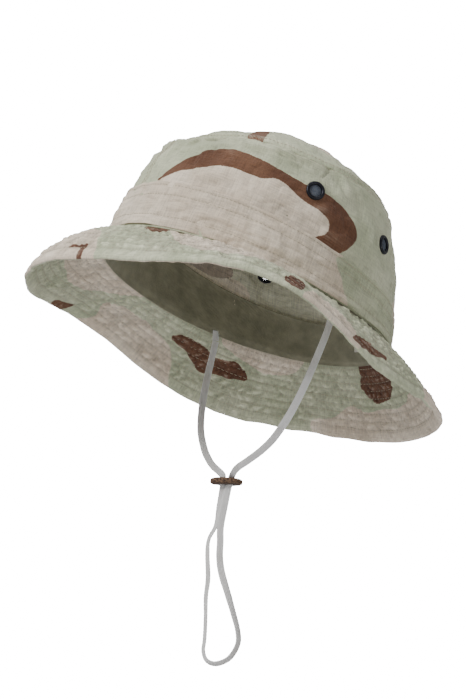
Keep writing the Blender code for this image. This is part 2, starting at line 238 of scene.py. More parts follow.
# The shape of the used cloth, as heights above the smooth surfaces.
def fold(turn, rise, centre, heading, length, width, height):
    """A fold in the wall: a ridge with a furrow along one side."""
    x = (turn - math.radians(centre[0])) * WALL_RADIUS
    y = (rise - centre[1]) * WALL_LENGTH
    c, s = math.cos(math.radians(heading)), math.sin(math.radians(heading))
    along, over = x * c + y * s, (y * c - x * s) / width
    fade = np.exp(-((along / length) ** 2) * 1.5)
    return height * fade * (np.exp(-((over - 0.6) ** 2) * 2) - 0.8 * np.exp(-((over + 0.6) ** 2) * 3))


WALL_FOLDS = (
    ((18, 0.80), 62, 0.012, 0.0030, 0.0016), ((27, 0.90), 35, 0.010, 0.0028, 0.0014),
    ((8, 0.62), 70, 0.016, 0.0050, 0.0012), ((34, 0.74), 20, 0.018, 0.0050, 0.0010),
    ((52, 0.84), -12, 0.022, 0.0060, 0.0011), ((63, 0.90), 8, 0.018, 0.0040, 0.0013),
    ((70, 0.82), -30, 0.014, 0.0050, 0.0009), ((93, 0.84), -48, 0.016, 0.0050, 0.0012),
    ((104, 0.72), -62, 0.020, 0.0060, 0.0012), ((113, 0.60), 74, 0.018, 0.0055, 0.0012),
    ((131, 0.72), 60, 0.018, 0.0045, 0.0014), ((139, 0.48), 82, 0.016, 0.0050, 0.0013),
    ((43, 0.40), 14, 0.020, 0.0060, 0.0007), ((75, 0.38), -14, 0.022, 0.0070, 0.0007),
    ((160, 0.62), -40, 0.020, 0.0060, 0.0013), ((-20, 0.76), -50, 0.016, 0.0045, 0.0013),
    ((-42, 0.66), 24, 0.022, 0.0060, 0.0011), ((-66, 0.86), -10, 0.020, 0.0055, 0.0012),
    ((-98, 0.82), 40, 0.018, 0.0055, 0.0012), ((-118, 0.50), 66, 0.018, 0.0060, 0.0011),
    ((-143, 0.68), -56, 0.018, 0.0050, 0.0013), ((-165, 0.45), 30, 0.020, 0.0060, 0.0010),
)


def wall_height(turn, rise):
    p = wall_base(turn, rise)
    free = soft_step(rise, 0.02, 0.30)
    height = free * (
        0.00150 * noise(p, 0.034, 1) + 0.00110 * noise(p * (1, 1, 1.5), 0.015, 2)
        + 0.00050 * noise(p, 0.0062, 3) + 0.00020 * noise(p, 0.0028, 4)
        + 0.00085 * creases(p, 0.026, 8) + 0.00060 * creases(p * (1, 1, 1.6), 0.012, 9)
    )
    for place, heading, length, width, tall in WALL_FOLDS:
        height = height + fold(turn, rise, place, heading, length, width, tall)
    below = (1 - rise) * WALL_LENGTH
    gathers = ring_noise(turn, 0.0, 120, 5) + 0.6 * ring_noise(turn, below / 0.006, 230, 6)
    height = height + 0.00045 * gathers * np.exp(-below / 0.006)
    roll = bell(below - 0.0042, 0.0026)
    height = height + 0.00105 * roll * (1 + 0.5 * ring_noise(turn, 0.0, 34, 7))
    height = height - 0.00125 * bell(below, 0.0013)
    lifted = bell(turn - math.radians(52), math.radians(15))
    height = height + 0.0020 * lifted * bell(below, 0.012)
    fore = bell(turn + 0.20, 0.36)
    height = height + 0.0018 * fore * bell(below - 0.006, 0.006)
    seam = np.minimum(np.abs(np.sin(turn / 2)), np.abs(np.cos(turn / 2))) * 0.18
    return height - 0.0007 * bell(seam, 0.0012) * free


def flatten_at_eyelets(points, offset):
    """Cloth is clamped flat between each eyelet's flange and washer."""
    for _, _, out, origin in EYELETS.values():
        apart = points - origin
        away = apart @ out
        radial = np.linalg.norm(apart - away[..., None] * out, axis=-1)
        hold = 1 - soft_step(radial, 0.0066, 0.0125)
        hold = np.where(np.abs(away) < 0.02, hold, 0.0)
        dimple = 0.0006 * bell(radial - 0.0085, 0.0022) * (np.abs(away) < 0.02)
        points = points + (hold * (offset - away))[..., None] * out - dimple[..., None] * out
    return points


def wall_surface(turn, rise, side=1):
    normal = normals(wall_base, turn, rise, 1)
    offset = side * WALL_HALF
    points = wall_base(turn, rise) + normal * (wall_height(turn, rise) + offset)[..., None]
    return flatten_at_eyelets(points, offset)


def tip_height(turn, share):
    p = tip_base(turn, share)
    inward = (1 - share) * TIP_REACH
    free = soft_step(inward, 0.0, 0.02)
    height = free * (
        0.0020 * noise(p, 0.038, 11) + 0.0013 * noise(p, 0.017, 12)
        + 0.0006 * noise(p, 0.0070, 13) + 0.0010 * creases(p, 0.028, 18)
        + 0.0006 * creases(p, 0.012, 19)
    ) + 0.00015 * noise(p, 0.0028, 14)
    gathers = ring_noise(turn, 0.0, 110, 15) + 0.6 * ring_noise(turn, inward / 0.006, 210, 16)
    height = height + 0.00045 * gathers * np.exp(-inward / 0.007)
    roll = bell(inward - 0.0050, 0.0030)
    height = height + 0.0012 * roll * (1 + 0.5 * ring_noise(turn, 0.0, 30, 17))
    lifted = bell(turn - math.radians(52), math.radians(15))
    height = height + 0.0024 * lifted * bell(inward, 0.010)
    fore = bell(turn + 0.14, 0.45)
    height = height - 0.0026 * fore * bell(inward - 0.010, 0.0075)
    return height - 0.0011 * bell(inward, 0.0013)


def tip_surface(turn, share, side=1):
    normal = normals(tip_base, turn, np.clip(share, 0.002, 1), -1)
    return tip_base(turn, share) + normal * (tip_height(turn, share) + side * WALL_HALF)[..., None]


BAND_FOOT, BAND_HEAD = 0.012, 0.283
BAND_ROWS = (0.068, 0.196, 0.262)
SWEATBAND_FOOT, SWEATBAND_HEAD = -0.052, 0.335


def band_height(turn, rise):
    p = wall_base(turn, rise)
    height = 0.00065 * noise(p, 0.026, 21) + 0.00065 * noise(p * (1, 1, 2), 0.010, 22)
    height = height + 0.00022 * noise(p, 0.0028, 23) + 0.00070 * creases(p * (1, 1, 2.5), 0.020, 27)
    drag = ring_noise(turn + 0.25 * rise, rise * 7, 96, 24)
    height = height + 0.00050 * drag * soft_step(rise, 0.0, 0.05)
    for row in BAND_ROWS:
        away = (rise - row) * WALL_LENGTH
        pull = ring_noise(turn, away / 0.004, 170, 25)
        height = height - 0.00034 * bell(away, 0.0009)
        height = height + 0.00030 * pull * np.exp(-np.abs(away) / 0.0028)
    lower = (rise - 0.040) * WALL_LENGTH
    swollen = 0.35 + 0.65 * soft_step(np.abs(turn), math.radians(60), math.radians(110))
    height = height + 0.0008 * swollen * bell(lower, 0.0020) * (
        1 + ring_noise(turn, 0.0, 46, 26))
    edge = (BAND_HEAD - rise) * WALL_LENGTH
    return height + 0.0003 * bell(edge - 0.0008, 0.0008)


def band_surface(turn, rise, side=1):
    normal = normals(wall_base, turn, rise, 1)
    lift = BAND_LIFT + band_height(turn, rise) + (WALL_HALF if side > 0 else -0.0004)
    if side < 0:
        lift = np.minimum(lift, BAND_LIFT + 0.0002)
    return wall_base(turn, rise) + normal * lift[..., None]


def brim_wave(turn, share):
    """How far the whole brim waves up and down, more towards its free edge."""
    free = share**1.6
    p = brim_base(turn, share)
    wave = 0.0009 * ring_noise(turn, 0.0, 36, 31) + 0.00050 * ring_noise(turn, 0.0, 84, 32)
    edge = 0.0003 * ring_noise(turn, 0.0, 150, 34) * share**6
    return free * wave + edge + 0.0012 * free * noise(p, 0.045, 33)


def quilting(turn, share, seed):
    """The brim's padding between its stitch rows, gathered into short slanting puckers."""
    phase = (share - ROW_FIRST) / ROW_STEP
    between = np.abs(np.sin(math.pi * phase)) ** 0.6
    margin = np.clip((share - ROW_LAST) / (1.03 - ROW_LAST), 0, 1)
    puff = np.where(share > ROW_LAST, np.abs(np.sin(math.pi * margin)) ** 0.6 * 0.9, between)
    puff = np.where(share < ROW_FIRST, soft_step(share, -0.02, ROW_FIRST) * 0.25, puff)
    finer = np.where(share > ROW_LAST, 0.45, 1.0)
    slant = 0.034 * np.abs((phase + 1) % 2 - 1)
    ridges = ring_noise(turn + slant, phase * 0.8 + 7, 280, seed)
    small = ring_noise(turn - slant, phase * 1.6 + 3, 450, seed + 1)
    gathered = 0.00060 + finer * (0.00078 * ridges + 0.00050 * small)
    height = puff * gathered * (1 + 0.35 * ring_noise(turn, phase * 0.5, 25, seed + 2))
    seam = share * BRIM_WIDTH
    return height - 0.0004 * bell(seam, 0.0018) + 0.00006 * ring_noise(
        turn, share * 20, 260, seed + 3
    )


def brim_surface(turn, share, ply, side=1):
    """ply is 1 for the top and -1 for the under ply; side is 1 for its outer face."""
    turn, share = np.broadcast_arrays(turn, share)
    normal = normals(brim_base, turn, np.clip(share, 0, 1), -1)
    out = 0.0004 * ring_noise(turn, 0.0, 58, 35) * share**3
    spine = brim_base(turn, share * (1 + out / BRIM_WIDTH))
    spine = spine + normal * brim_wave(turn, share)[..., None]
    near_edge = np.clip((share - EDGE_START) / EDGE_SHARE, 0, 1)
    rounding = np.sqrt(np.maximum(1 - near_edge**2, 0))
    half = (BRIM_HALF + quilting(turn, share, 40 if ply > 0 else 50)) * rounding + 0.00003
    if side < 0:
        half = np.maximum(half - PLY, 0.25 * half)
    return spine + normal * (ply * half)[..., None]


# The printed pattern, as patches with smooth outlines.
def curve(a, b, c, d, t):
    """The smooth run from b to c, with a before it and d after it."""
    return 0.5 * (2 * b + (c - a) * t + (2 * a - 5 * b + 4 * c - d) * t**2
                  + (3 * b - a - 3 * c + d) * t**3)


def outline(points, steps=6):
    """A closed smooth curve through the points."""
    p = np.array(points, float)
    t = (np.arange(steps) / steps)[:, None]
    return np.concatenate([
        curve(*(p[(i + k) % len(p)] for k in (-1, 0, 1, 2)), t) for i in range(len(p))
    ])


def inside_distance(x, y, points, scale):
    """How far each place is inside an outline, in millimetres; negative outside it."""
    ends = outline(points) * np.array(scale) * 1000
    x, y = np.ravel(x) * scale[0] * 1000, np.ravel(y) * scale[1] * 1000
    best, inside = np.full(x.shape, 1e6), np.zeros(x.shape, bool)
    for (ax, ay), (bx, by) in zip(ends, np.roll(ends, -1, axis=0)):
        dx, dy = bx - ax, by - ay
        t = np.clip(((x - ax) * dx + (y - ay) * dy) / max(dx * dx + dy * dy, 1e-9), 0, 1)
        best = np.minimum(best, np.hypot(x - ax - t * dx, y - ay - t * dy))
        crossed = ((ay > y) != (by > y)) & (x < ax + (y - ay) * dx / (dy if dy else 1e-9))
        inside ^= crossed
    return np.where(inside, best, -best)


def patches(x, y, shapes, scale, wander=0.0):
    """Printed shapes, their outlines wavering as a screen print does; wander bends them more."""
    place = stack(x * scale[0], y * scale[1], 0)
    x, y = (
        value + (0.0004 * noise(place, 0.006, seed) + wander * noise(place, 0.016, seed + 2)) / part
        for value, part, seed in ((x, scale[0], 81), (y, scale[1], 82))
    )
    found = np.full(np.size(x), -50.0)
    for points in shapes:
        found = np.maximum(found, inside_distance(x, y, points, scale))
    return np.clip(found, -50, 50)


def printed_round(turns, shares, shapes, scale):
    """Patches on a surface that closes on itself; their outlines are given in degrees."""
    degrees = np.degrees(turns)
    aside = np.abs((degrees - 60 + 180) % 360 - 180)
    wander = 0.0042 * soft_step(aside, 72, 95)
    return np.maximum(patches(degrees, shares, shapes, scale, wander),
                      patches(degrees % 360, shares, shapes, scale, wander))


WALL_SCALE = (math.radians(1) * WALL_RADIUS, WALL_LENGTH)
WALL_BROWN = (
    ((12, .30), (22, .50), (33, .69), (45, .72), (60, .68), (75, .64), (88, .66), (98, .60), (103, .48),
     (100, .36), (96, .26), (94, .16), (84, .16), (84, .26), (89, .36), (88, .46), (76, .50), (65, .56),
     (58, .51), (42, .50), (28, .42)),
    ((-34, .52), (-44, .66), (-60, .70), (-78, .60), (-92, .56), (-104, .62), (-108, .50), (-96, .42),
     (-80, .44), (-66, .50), (-54, .42), (-42, .38)),
    ((150, .80), (160, .66), (172, .52), (190, .48), (206, .56), (204, .66), (188, .62), (174, .70),
     (166, .86), (156, .95)),
)
WALL_SAND = (
    ((12, .30), (30, .50), (45, .60), (65, .61), (80, .57), (94, .50), (94, .40), (88, .26), (88, .10),
     (50, .05), (14, .10)),
    ((-44, .62), (-54, .42), (-66, .50), (-80, .44), (-96, .42), (-108, .50), (-116, .34), (-112, .10),
     (-70, .05), (-46, .14)),
    ((140, .30), (156, .44), (176, .50), (200, .44), (214, .30), (206, .06), (150, .06)),
    ((-14, .98), (-30, .86), (-52, .84), (-74, .92), (-92, 1.10), (-40, 1.15)),
)
BAND_SAND = (
    ((-10, .35), (94, .35), (96, .24), (103, .10), (106, -.06), (60, -.12), (0, -.10), (-14, .10)),
    ((-46, .40), (-60, .12), (-84, -.05), (-106, -.05), (-116, .16), (-112, .40)),
    ((138, .40), (150, .16), (170, -.05), (196, -.05), (214, .14), (216, .40)),
)
BAND_BROWN = (
    ((154, -.06), (160, .08), (168, .12), (176, .02), (178, -.08)),
    ((-24, .34), (-32, .20), (-42, .16), (-44, .34)),
)
TIP_SCALE = (1.0, 1.0)
TIP_BROWN = (
    ((.066, -.048), (.060, -.055), (.035, -.043), (.010, -.034), (-.008, -.024), (-.015, -.008),
     (-.004, -.006), (.015, -.022), (.040, -.034)),
    ((-.070, .010), (-.052, .022), (-.030, .026), (-.012, .040), (-.008, .056), (-.024, .058),
     (-.036, .044), (-.056, .038), (-.074, .028)),
    ((.030, .036), (.046, .030), (.060, .036), (.052, .050), (.036, .054)),
)
TIP_SAND = (
    ((.000, .000), (.020, -.005), (.040, -.003), (.056, .005), (.048, .015), (.025, .019), (.000, .013)),
    ((-.080, -.030), (-.058, -.026), (-.040, -.036), (-.036, -.054), (-.050, -.070), (-.080, -.060)),
    ((-.012, .040), (-.008, .056), (.010, .070), (-.020, .080), (-.040, .066), (-.024, .058)),
)
BRIM_SCALE = (math.radians(1) * BRIM_RADIUS, BRIM_WIDTH)
BRIM_BROWN = (
    ((10, .81), (17, .79), (18, .84), (18, .88), (19, 1.02), (17, 1.02), (16, .88), (14, .84), (10, .84)),
    ((25, .16), (28, .05), (33, .04), (36, .18), (34, .38), (29, .30)),
    ((75, .86), (77, .66), (80, .53), (82, .62), (81, .80), (79, .94), (76, .96)),
    ((98, .94), (101, .78), (106, .68), (115, .64), (116, .74), (109, .84), (102, .94)),
    ((146, .30), (153, .12), (163, .10), (170, .26), (164, .44), (154, .46)),
    ((196, .92), (206, .70), (218, .66), (230, .74), (226, .84), (212, .82), (204, 1.05)),
    ((262, .20), (272, .02), (284, .04), (292, .24), (286, .42), (272, .40)),
    ((318, .70), (328, .60), (338, .66), (340, .80), (328, .84)),
)
BRIM_SAND = (
    ((-20, 1.15), (-14, .60), (-2, .40), (10, .42), (18, .62), (21, 1.15)),
    ((36, -.10), (39, .34), (48, .68), (60, .72), (70, .44), (71, -.10)),
    ((81, 1.10), (84, .70), (94, .57), (101, .68), (99, 1.10)),
    ((134, 1.15), (140, .66), (156, .50), (174, .56), (184, .80), (182, 1.15)),
    ((206, -.10), (210, .36), (226, .52), (242, .40), (244, -.10)),
    ((256, 1.15), (262, .74), (278, .56), (296, .66), (302, .90), (300, 1.15)),
    ((306, -.10), (312, .26), (328, .34), (340, .20), (342, -.10)),
)
UNDER_BROWN = (
    ((306, .94), (303, .82), (298, .82), (300, .92)),
    ((166, -.08), (170, .18), (176, .34), (184, .46), (190, .48), (194, .30), (190, .12), (186, -.08)),
    ((60, .60), (72, .44), (86, .50), (92, .66), (80, .76), (66, .74)),
    ((240, .50), (244, .34), (252, .36), (258, .20), (266, .22), (268, .36), (260, .44), (254, .56)),
)
UNDER_SAND = (
    ((294, -.10), (299, .44), (308, .56), (326, .46), (342, .34), (362, .34), (372, -.10)),
    ((262, 1.15), (266, .54), (278, .42), (290, .52), (290, .78), (291, 1.15)),
    ((20, 1.15), (28, .66), (44, .50), (58, .60), (62, 1.15)),
    ((140, .90), (150, .56), (166, .50), (186, .56), (206, .66), (216, .86), (206, 1.15), (150, 1.15)),
    ((100, -.10), (106, .34), (122, .44), (136, .30), (140, -.10)),
    ((220, -.10), (224, .26), (240, .30), (252, .10), (254, -.10)),
)


# Building meshes.
def placed(name, data):
    obj = bpy.data.objects.new(name, data)
    bpy.context.scene.collection.objects.link(obj)
    return obj


def cloth_place(turns, shares, radius, length, start=0.0):
    """Where each point lies on the flat cloth, in metres."""
    return np.stack([turns * radius + start, shares * length], -1)


# The last field is how proud the cloth stands: real wear on its high places, painted shade in its hollows.
def printed_fields(turns, shares, sand, brown, scale, wear_and_hollow_shade):
    return {
        "sand": printed_round(turns, shares, sand, scale),
        "brown": printed_round(turns, shares, brown, scale),
        "wear_and_hollow_shade": wear_and_hollow_shade,
    }


def mesh_object(name, points, faces, materials, body, smooth=55):
    mesh = bpy.data.meshes.new(name)
    mesh.vertices.add(len(points))
    mesh.vertices.foreach_set("co", np.asarray(points, np.float32).ravel())
    mesh.loops.add(faces.size)
    mesh.loops.foreach_set("vertex_index", faces.astype(np.int32).ravel())
    mesh.polygons.add(len(faces))
    mesh.polygons.foreach_set(
        "loop_start", np.arange(0, faces.size, faces.shape[1], dtype=np.int32)
    )
    mesh.update(calc_edges=True)
    mesh.shade_smooth()
    mesh.set_sharp_from_angle(angle=math.radians(smooth))
    for material in materials:
        mesh.materials.append(material)
    obj = placed(name, mesh)
    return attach(obj, body) if body else obj


def set_uv(obj, uv):
    """One place on the cloth for each vertex, in metres."""
    mesh = obj.data
    corner = np.zeros(len(mesh.loops), np.int32)
    mesh.loops.foreach_get("vertex_index", corner)
    layer = mesh.uv_layers.new(name="cloth")
    layer.uv.foreach_set("vector", uv.reshape(-1, 2)[corner].astype(np.float32).ravel())


def set_field(obj, name, values):
    attribute = obj.data.attributes.new(name, "FLOAT", "POINT")
    attribute.data.foreach_set("value", np.asarray(values, np.float32).ravel())


def shell(name, outer, inner, uv, fields, materials, body="hat", keep=None):
    """A closed layer between two grids of points, with a rim wherever a cell has no neighbour."""
    rows, columns = outer.shape[:2]
    index = np.arange(rows * columns).reshape(rows, columns)
    count = rows * columns
    keep = np.ones((rows - 1, columns - 1), bool) if keep is None else keep
    a, b, c, d = index[:-1, :-1], index[:-1, 1:], index[1:, 1:], index[1:, :-1]
    front = np.stack([a, b, c, d], -1)[keep]
    back = np.stack([a, d, c, b], -1)[keep] + count
    wide = np.pad(keep, 1)
    rims = []
    for p, q, beside in (
        (a, b, wide[:-2, 1:-1]), (b, c, wide[1:-1, 2:]), (c, d, wide[2:, 1:-1]),
        (d, a, wide[1:-1, :-2]),
    ):
        bare = keep & ~beside
        rims.append(np.stack([q[bare], p[bare], p[bare] + count, q[bare] + count], -1))
    rim = np.concatenate(rims)
    points = worn(np.concatenate([outer.reshape(-1, 3), inner.reshape(-1, 3)]))
    faces = np.concatenate([front, back, rim])
    used, faces = np.unique(faces, return_inverse=True)
    obj = mesh_object(name, points[used], faces.reshape(-1, 4), materials, body)
    sides = np.zeros(len(faces.reshape(-1, 4)), np.int32)
    sides[len(front):len(front) + len(back)] = min(1, len(materials) - 1)
    obj.data.polygons.foreach_set("material_index", sides)
    set_uv(obj, np.concatenate([uv.reshape(-1, 2)] * 2)[used])
    for field, values in fields.items():
        set_field(obj, field, np.concatenate([np.ravel(values)] * 2)[used])
    return obj


def stands_for(piece, node):
    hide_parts(node)
    return piece


def area_of(grid):
    """The area of a grid of points, in square metres."""
    a, b, c, d = grid[:-1, :-1], grid[:-1, 1:], grid[1:, 1:], grid[1:, :-1]
    halves = np.cross(b - a, c - a), np.cross(c - a, d - a)
    return float(sum(np.linalg.norm(half, axis=-1).sum() for half in halves) / 2)


def tubes(name, lines, radius, sides, material, body, shape=None):
    """Many thin round runs as one piece; shape scales the radius along each."""
    lines = np.asarray(lines, float)
    count, length = lines.shape[:2]
    tangent = unit(np.gradient(lines, axis=1))
    spare = np.where(np.abs(tangent[..., 2:]) > 0.9, (1.0, 0, 0), (0, 0, 1.0))
    across = unit(np.cross(tangent, spare))
    up = np.cross(across, tangent)
    angle = np.arange(sides) / sides * math.tau
    scale = radius * (np.ones(length) if shape is None else np.asarray(shape))
    ring = (
        lines[:, :, None]
        + scale[None, :, None, None]
        * (np.cos(angle)[:, None] * across[:, :, None] + np.sin(angle)[:, None] * up[:, :, None])
    )
    index = np.arange(count * length * sides).reshape(count, length, sides)
    nxt = np.roll(index, -1, axis=2)
    walls = np.stack([index[:, :-1], nxt[:, :-1], nxt[:, 1:], index[:, 1:]], -1)
    faces = [walls.reshape(-1, 4)]
    for end, flip in ((index[:, 0], True), (index[:, -1], False)):
        for k in range(1, sides - 2, 2):
            cap = np.stack([end[:, 0], end[:, k], end[:, k + 1], end[:, (k + 2) % sides]], -1)
            faces.append(cap[:, ::-1] if flip else cap)
    return mesh_object(name, ring.reshape(-1, 3), np.concatenate(faces), [material], body, 80)


def stitch_lines(surface, facing, base, turns, shares):
    """Short arcs of thread, one for each stitch of a row, that dive into the cloth at their ends."""
    mix = np.array((0.10, 0.30, 0.5, 0.70, 0.90))
    lift = np.array((-0.00022, 0.00016, 0.00024, 0.00016, -0.00022))
    u = turns[:-1, None] * (1 - mix) + turns[1:, None] * mix
    v = shares[:-1, None] * (1 - mix) + shares[1:, None] * mix
    normal = normals(base, u, np.clip(v, 0.002, 1), facing)
    return worn(surface(u, v) + normal * lift[:, None])


def stitched_row(share, pitch, around_length, start=-BACK, stop=BACK):
    turns = np.linspace(start, stop, max(2, int((stop - start) / math.tau * around_length / pitch)))
    return turns, np.full_like(turns, share)


# Materials.
class Shader:
    """A material's node tree, built a node at a time."""

    def __init__(self, name, **sockets):
        self.material = bpy.data.materials.new(name)
        self.material.use_nodes = True
        self.tree = self.material.node_tree
        self.surface = self.tree.nodes["Principled BSDF"]
        for socket, value in sockets.items():
            self.surface.inputs[socket.replace("_", " ")].default_value = value

    def node(self, kind, inputs=(), **settings):
        made = self.tree.nodes.new("ShaderNode" + kind)
        for key, value in settings.items():
            setattr(made, key, value)
        for socket, value in dict(inputs).items():
            if isinstance(value, bpy.types.NodeSocket):
                self.tree.links.new(value, made.inputs[socket])
            else:
                made.inputs[socket].default_value = value
        return made

    def math(self, operation, a, b=0.0, c=0.0):
        return self.node("Math", {0: a, 1: b, 2: c}, operation=operation).outputs[0]

    def ranged(self, value, low, high, start=0.0, end=1.0):
        made = self.node(
            "MapRange", {"Value": value, 1: low, 2: high, 3: start, 4: end},
            interpolation_type="SMOOTHSTEP",
        )
        return made.outputs[0]

    def mix(self, factor, a, b, blend="MIX"):
        made = self.node("Mix", {0: factor, 6: a, 7: b}, data_type="RGBA", blend_type=blend)
        return made.outputs[2]

    def noise(self, where, scale, detail=3.0, rough=0.55):
        made = self.node("TexNoise", {"Vector": where, "Scale": scale, "Detail": detail,
                                      "Roughness": rough})
        return made.outputs["Fac"]

    def stretched(self, where, scale):
        return self.node("Mapping", {"Vector": where, "Scale": scale}).outputs[0]

    def set(self, socket, value):
        self.tree.links.new(value, self.surface.inputs[socket])

    def bump(self, height, strength, distance, under=None):
        inputs = {"Height": height, "Strength": strength, "Distance": distance}
        if under is not None:
            inputs["Normal"] = under
        return self.node("Bump", inputs).outputs[0]


def colour(red, green, blue):
    """A colour given as on screen, from 0 to 255."""
    def linear(value):
        value = value / 255
        return value / 12.92 if value <= 0.04045 else ((value + 0.055) / 1.055) ** 2.4
    return (linear(red), linear(green), linear(blue), 1.0)


def weave(shader, place, pitch):
    """The height of a plain weave: threads one way and then the other."""
    turn = math.tau / pitch
    x, y = shader.node("SeparateXYZ", {0: place}).outputs[:2]
    warp = shader.math("SINE", shader.math("MULTIPLY", x, turn))
    weft = shader.math("SINE", shader.math("MULTIPLY", y, turn))
    return shader.math("ADD", shader.math("ABSOLUTE", warp), shader.math("ABSOLUTE", weft))


def printed_cloth(name, wash=0.0, hollow_shade_strength=0.25, wear=0.22, puckered=False):
    """Washed cotton printed in three colours.

    wash fades it all and wear only where it stands proud; painted shade darkens its hollows.
    """
    s = Shader(name, Roughness=0.93, Specular_IOR_Level=0.22, Sheen_Weight=0.10,
               Sheen_Roughness=0.5)
    place = s.node("UVMap", uv_map="cloth").outputs[0]
    ragged = s.math("MULTIPLY", s.math("SUBTRACT", s.noise(place, 900.0, 2.0), 0.5), 1.3)
    def mask(field, spread):
        found = s.node("Attribute", attribute_name=field).outputs["Fac"]
        return s.ranged(s.math("ADD", found, ragged), -spread, spread)
    broad = s.noise(place, 28.0, 4.0)
    slub = s.noise(s.stretched(place, (90.0, 1100.0, 1.0)), 1.0, 3.0, 0.7)
    slub_across = s.noise(s.stretched(place, (1100.0, 90.0, 1.0)), 1.0, 3.0, 0.7)
    threads = s.math("ADD", slub, slub_across)
    green = s.mix(s.ranged(broad, 0.35, 0.65), colour(172, 177, 149), colour(188, 190, 164))
    sand = s.mix(s.ranged(broad, 0.35, 0.65), colour(203, 188, 168), colour(216, 203, 184))
    brown = s.mix(s.ranged(broad, 0.3, 0.7), colour(90, 60, 43), colour(110, 79, 59))
    dyed = s.mix(mask("sand", 0.5), green, sand)
    dyed = s.mix(mask("brown", 0.3), dyed, brown)
    # How proud the cloth stands: it drives real wear on high places and painted shade in hollows.
    wear_and_shade_height = s.node("Attribute", attribute_name="wear_and_hollow_shade").outputs["Fac"]
    worn_at = s.math("MULTIPLY", s.ranged(wear_and_shade_height, 0.62, 1.0), s.ranged(slub, 0.35, 0.65))
    dyed = s.mix(s.math("MULTIPLY", worn_at, wear), dyed, colour(226, 220, 206))
    dyed = s.mix(wash, dyed, colour(214, 208, 194))
    # Painted shade: the colour darkens where the cloth lies low, in hollows, folds and stitch grooves.
    groove_shade = s.math("MULTIPLY_ADD", wear_and_shade_height, hollow_shade_strength, 1 - 0.5 * hollow_shade_strength)
    lightness = s.math("MULTIPLY_ADD", s.math("SUBTRACT", threads, 1.0), 0.80, groove_shade)
    s.set("Base Color", s.node("HueSaturation", {"Color": dyed, "Value": lightness}).outputs[0])
    fine = s.bump(weave(s, place, 0.00046), 0.40, 0.00012)
    slubs = s.bump(threads, 0.6, 0.00060, fine)
    creased = s.bump(s.noise(place, 330.0, 4.0), 0.6, 0.00090, slubs)
    if puckered:
        puckers = s.noise(s.stretched(place, (620.0, 260.0, 1.0)), 1.0, 3.0, 0.6)
        creased = s.bump(puckers, 0.8, 0.0012, creased)
    s.set("Normal", creased)
    return s.material


def plain_cloth(name, tint, other, pitch, ribbed=False):
    s = Shader(name, Roughness=0.9, Specular_IOR_Level=0.2, Sheen_Weight=0.2)
    place = s.node("UVMap", uv_map="cloth").outputs[0]
    mottle = s.noise(place, 90.0, 4.0)
    s.set("Base Color", s.mix(s.ranged(mottle, 0.3, 0.7), tint, other))
    if ribbed:
        slant = s.node("VectorMath", {0: place, 1: (1.0, 1.0, 0.0)}, operation="DOT_PRODUCT")
        height = s.math("SINE", s.math("MULTIPLY", slant.outputs["Value"], math.tau / pitch))
    else:
        height = weave(s, place, pitch)
    s.set("Normal", s.bump(s.noise(place, 500.0), 0.4, 0.0003, s.bump(height, 0.5, 0.00015)))
    return s.material


def thread(name, tint):
    s = Shader(name, Roughness=0.7, Specular_IOR_Level=0.3, Sheen_Weight=0.2)
    where = s.node("NewGeometry").outputs["Position"]
    s.set("Base Color", s.mix(s.ranged(s.noise(where, 300.0), 0.35, 0.65), tint,
                              tuple(0.8 * part for part in tint[:3]) + (1.0,)))
    return s.material


def braid(name):
    s = Shader(name, Roughness=0.72, Specular_IOR_Level=0.3, Sheen_Weight=0.3)
    place = s.node("UVMap", uv_map="cloth").outputs[0]
    mottle = s.noise(s.stretched(place, (60.0, 400.0, 1.0)), 1.0, 4.0)
    shade = s.mix(s.ranged(mottle, 0.3, 0.7), colour(222, 221, 219), colour(236, 235, 233))
    dirt = s.ranged(s.noise(place, 45.0, 2.0), 0.52, 0.72)
    x, y = s.node("SeparateXYZ", {0: place}).outputs[:2]
    rib = s.math("SINE", s.math("MULTIPLY", y, math.tau * TAPE_RIBS / TAPE_WIDTH))
    # Painted shade: the colour darkens in the grooves between the tape's ribs.
    groove_shade = s.mix(s.ranged(rib, -1.0, 0.6, 0.0, 0.35),
                    colour(222, 221, 219), colour(150, 148, 146))
    shade = s.mix(0.5, shade, groove_shade)
    slant = s.math("ADD", x, s.math("PINGPONG", y, 0.0008))
    s.set("Base Color", s.mix(s.math("MULTIPLY", dirt, 0.25), shade, colour(170, 160, 145)))
    plait = s.math("SINE", s.math("MULTIPLY", slant, math.tau / 0.0009))
    s.set("Normal", s.bump(plait, 0.6, 0.00012))
    return s.material


def leather(name):
    s = Shader(name, Roughness=0.72, Specular_IOR_Level=0.35)
    where = s.node("NewGeometry").outputs["Position"]
    grain = s.noise(where, 900.0, 5.0, 0.65)
    tint = s.mix(s.ranged(grain, 0.36, 0.62), colour(40, 27, 20), colour(84, 62, 48))
    cut = s.node("Attribute", attribute_name="cut").outputs["Fac"]
    rough_edge = s.mix(s.ranged(grain, 0.4, 0.6), colour(48, 32, 24), colour(112, 86, 64))
    s.set("Base Color", s.mix(cut, tint, rough_edge))
    s.set("Normal", s.bump(grain, 0.8, 0.0005))
    return s.material


def metal(name, tint, worn_tint, roughness):
    s = Shader(name, Metallic=0.75, Roughness=roughness)
    where = s.node("NewGeometry").outputs["Position"]
    spots = s.ranged(s.noise(where, 700.0, 4.0), 0.60, 0.72)
    s.set("Base Color", s.mix(s.math("MULTIPLY", spots, 0.6), tint, worn_tint))
    s.set("Normal", s.bump(s.noise(where, 1500.0), 0.15, 0.0001))
    return s.material


def label_cloth(name):
    s = Shader(name, Roughness=0.8, Sheen_Weight=0.2)
    place = s.node("UVMap", uv_map="cloth").outputs[0]
    tint = s.mix(s.noise(place, 200.0), colour(196, 192, 180), colour(216, 213, 203))
    s.set("Base Color", tint)
    s.set("Normal", s.bump(weave(s, place, 0.0004), 0.4, 0.0001))
    return s.material


